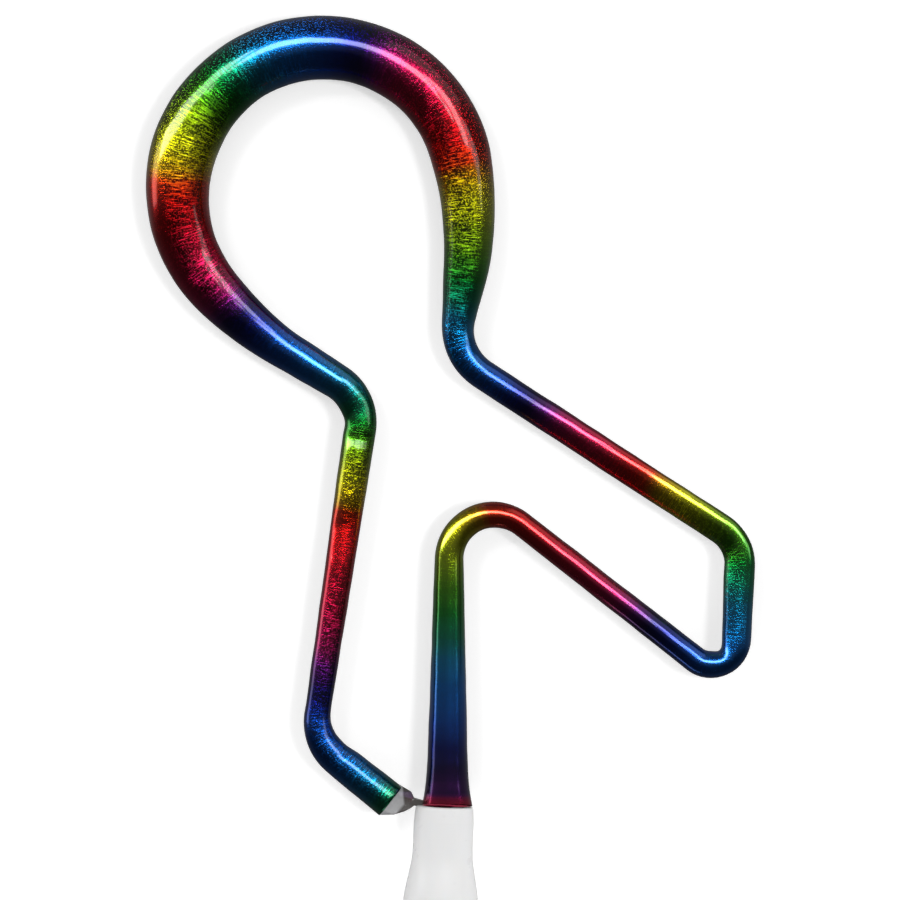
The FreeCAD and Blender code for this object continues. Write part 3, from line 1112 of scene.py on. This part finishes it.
# Panels that only the glossy surfaces see. Each runs between two directions from the pen, with
# its width in degrees and its share of light.
GLOSS_PANELS = (
    ("overhead_bar", (49.0, 27.0), (120.0, 33.0), 16.0, 1.0),
    ("right_bar", (47.0, 31.0), (33.0, 44.0), 17.0, 0.8),
    ("right_end", (32.0, 45.0), (10.0, 64.0), 15.0, 0.22),
    ("left_bar", (123.0, 37.0), (165.0, 82.0), 17.0, 0.9),
    ("low_left_panel", (187.0, 90.0), (163.0, 90.0), 22.0, 0.16),
    ("back_right_panel", (38.0, 68.0), (72.0, 68.0), 34.0, 0.06),
)
# Lamps that only the matt surfaces see, which cast the faint shadows.
SHADOW_LAMPS = (
    ("right_key", (-12.0, 22.0), (8.0, 22.0), 8.0, 1.0),
    ("left_fill", (130.0, 30.0), (145.0, 30.0), 8.0, 0.45),
)


def lay_floor(studio):
    shell = bmesh.new()
    bmesh.ops.create_grid(shell, x_segments=1, y_segments=1, size=FLOOR_HALF)
    floor = from_shell(shell, "studio_floor")
    floor.data.materials.append(make_floor_paint(studio))
    floor.visible_glossy = False


def light_world(studio):
    """A white backdrop, even pale light for matt surfaces and a dim room for glossy ones."""
    world = bpy.data.worlds.new("studio")
    bpy.context.scene.world = world
    world.use_nodes = True
    r = Recipe(world.node_tree)
    outward = r.node("ShaderNodeTexCoord", output="Generated")
    parts = r.node("ShaderNodeSeparateXYZ", {"Vector": outward}).socket.node
    x, y, z = (Value(r, parts.outputs[k]) for k in range(3))
    back = r.between(y, -0.3, 0.9)
    low = r.between(z, -0.25, 0.35, 1.0, 0.0)
    side = r.between(y * y, 0.0, 0.10, 1.0, 0.0)
    glow = ROOM_GLOW + back * BACK_GLOW + low * LOW_GLOW + side * SIDE_GLOW
    dark, pale, white = (
        r.node("ShaderNodeBackground", {"Color": solid(WHITE), "Strength": strength})
        for strength in (glow, studio.ambient, 1.0)
    )
    glossy = r.node("ShaderNodeLightPath", output="Is Glossy Ray")
    seen = r.node("ShaderNodeLightPath", output="Is Camera Ray")
    shader = r.node("ShaderNodeMixShader", {0: glossy, 1: pale, 2: dark})
    shader = r.node("ShaderNodeMixShader", {0: seen, 1: shader, 2: white})
    r.node("ShaderNodeOutputWorld", {"Surface": shader})


def direction(azimuth, tilt):
    """From the pen towards an azimuth from +X and an angle from overhead, in degrees."""
    a, t = math.radians(azimuth), math.radians(tilt)
    return Vector((math.sin(t) * math.cos(a), math.sin(t) * math.sin(a), math.cos(t)))


def hang_lamp(name, start, end, width, radiance, for_gloss):
    """A rectangular lamp between two directions from the pen, facing it."""
    one, other = (direction(*aim) * LAMP_DISTANCE for aim in (start, end))
    middle = (one + other) / 2
    lamp = bpy.data.lights.new(name, "AREA")
    lamp.shape = "RECTANGLE"
    lamp.size = (one - other).length
    lamp.size_y = 2 * middle.length * math.tan(math.radians(width) / 2)
    lamp.energy = radiance * math.pi * lamp.size * lamp.size_y
    holder = in_scene(name, lamp)
    along = (other - one).normalized()
    facing = (middle - middle.dot(along) * along).normalized()
    turn = Matrix((along, facing.cross(along), facing)).transposed().to_4x4()
    holder.matrix_world = Matrix.Translation(VIEW_CENTRE + middle) @ turn
    holder.visible_camera = False
    holder.visible_diffuse = not for_gloss
    holder.visible_glossy = for_gloss


def hang_lamps(studio):
    for *placing, share in GLOSS_PANELS:
        hang_lamp(*placing, share * studio.gloss, True)
    for *placing, share in SHADOW_LAMPS:
        hang_lamp(*placing, share * studio.key, False)


def set_camera(studio):
    lens = bpy.data.cameras.new("camera")
    lens.sensor_width = SENSOR_WIDTH
    lens.lens = lens.sensor_width * studio.camera_height / studio.view_width
    lens.clip_start = NEAREST_SEEN
    lens.clip_end = FARTHEST_SEEN
    camera = in_scene("camera", lens)
    place = Matrix.Translation(VIEW_CENTRE + Vector((0, 0, studio.camera_height)))
    camera.matrix_world = place @ Matrix.Rotation(CAMERA_ROLL, 4, "Z")
    bpy.context.scene.camera = camera


# ------------------------------------------------------------------ panel and registration


class PEN_PT_sidebar(bpy.types.Panel):
    """Steps and settings of the ribbon pen"""

    bl_idname = "PEN_PT_sidebar"
    bl_label = "Ribbon Pen"
    bl_space_type = "VIEW_3D"
    bl_region_type = "UI"
    bl_category = "Ribbon Pen"

    def draw(self, context):
        for settings in (context.scene.pen_foil, context.scene.pen_shells, context.scene.pen_studio):
            box = self.layout.box()
            for name in settings.__annotations__:
                box.prop(settings, name)
        for step in STEPS:
            self.layout.operator(step.bl_idname)


STEPS = (
    PEN_OT_wrap_foil,
    PEN_OT_form_tube,
    PEN_OT_finish_shells,
    PEN_OT_finish_refill,
    PEN_OT_finish_point,
    PEN_OT_set_studio,
)
SETTINGS = {"pen_foil": FoilSettings, "pen_shells": ShellSettings, "pen_studio": StudioSettings}


def register():
    for kind in (*SETTINGS.values(), *STEPS, PEN_PT_sidebar):
        bpy.utils.register_class(kind)
    for name, kind in SETTINGS.items():
        setattr(bpy.types.Scene, name, PointerProperty(type=kind))


def unregister():
    for name in SETTINGS:
        delattr(bpy.types.Scene, name)
    for kind in reversed((*SETTINGS.values(), *STEPS, PEN_PT_sidebar)):
        bpy.utils.unregister_class(kind)


def main():
    register()
    bpy.ops.pen.wrap_foil()
    bpy.ops.pen.form_tube()
    bpy.ops.pen.finish_shells()
    bpy.ops.pen.finish_refill()
    bpy.ops.pen.finish_point()
    bpy.ops.pen.set_studio()


if __name__ == "__main__":
    main()
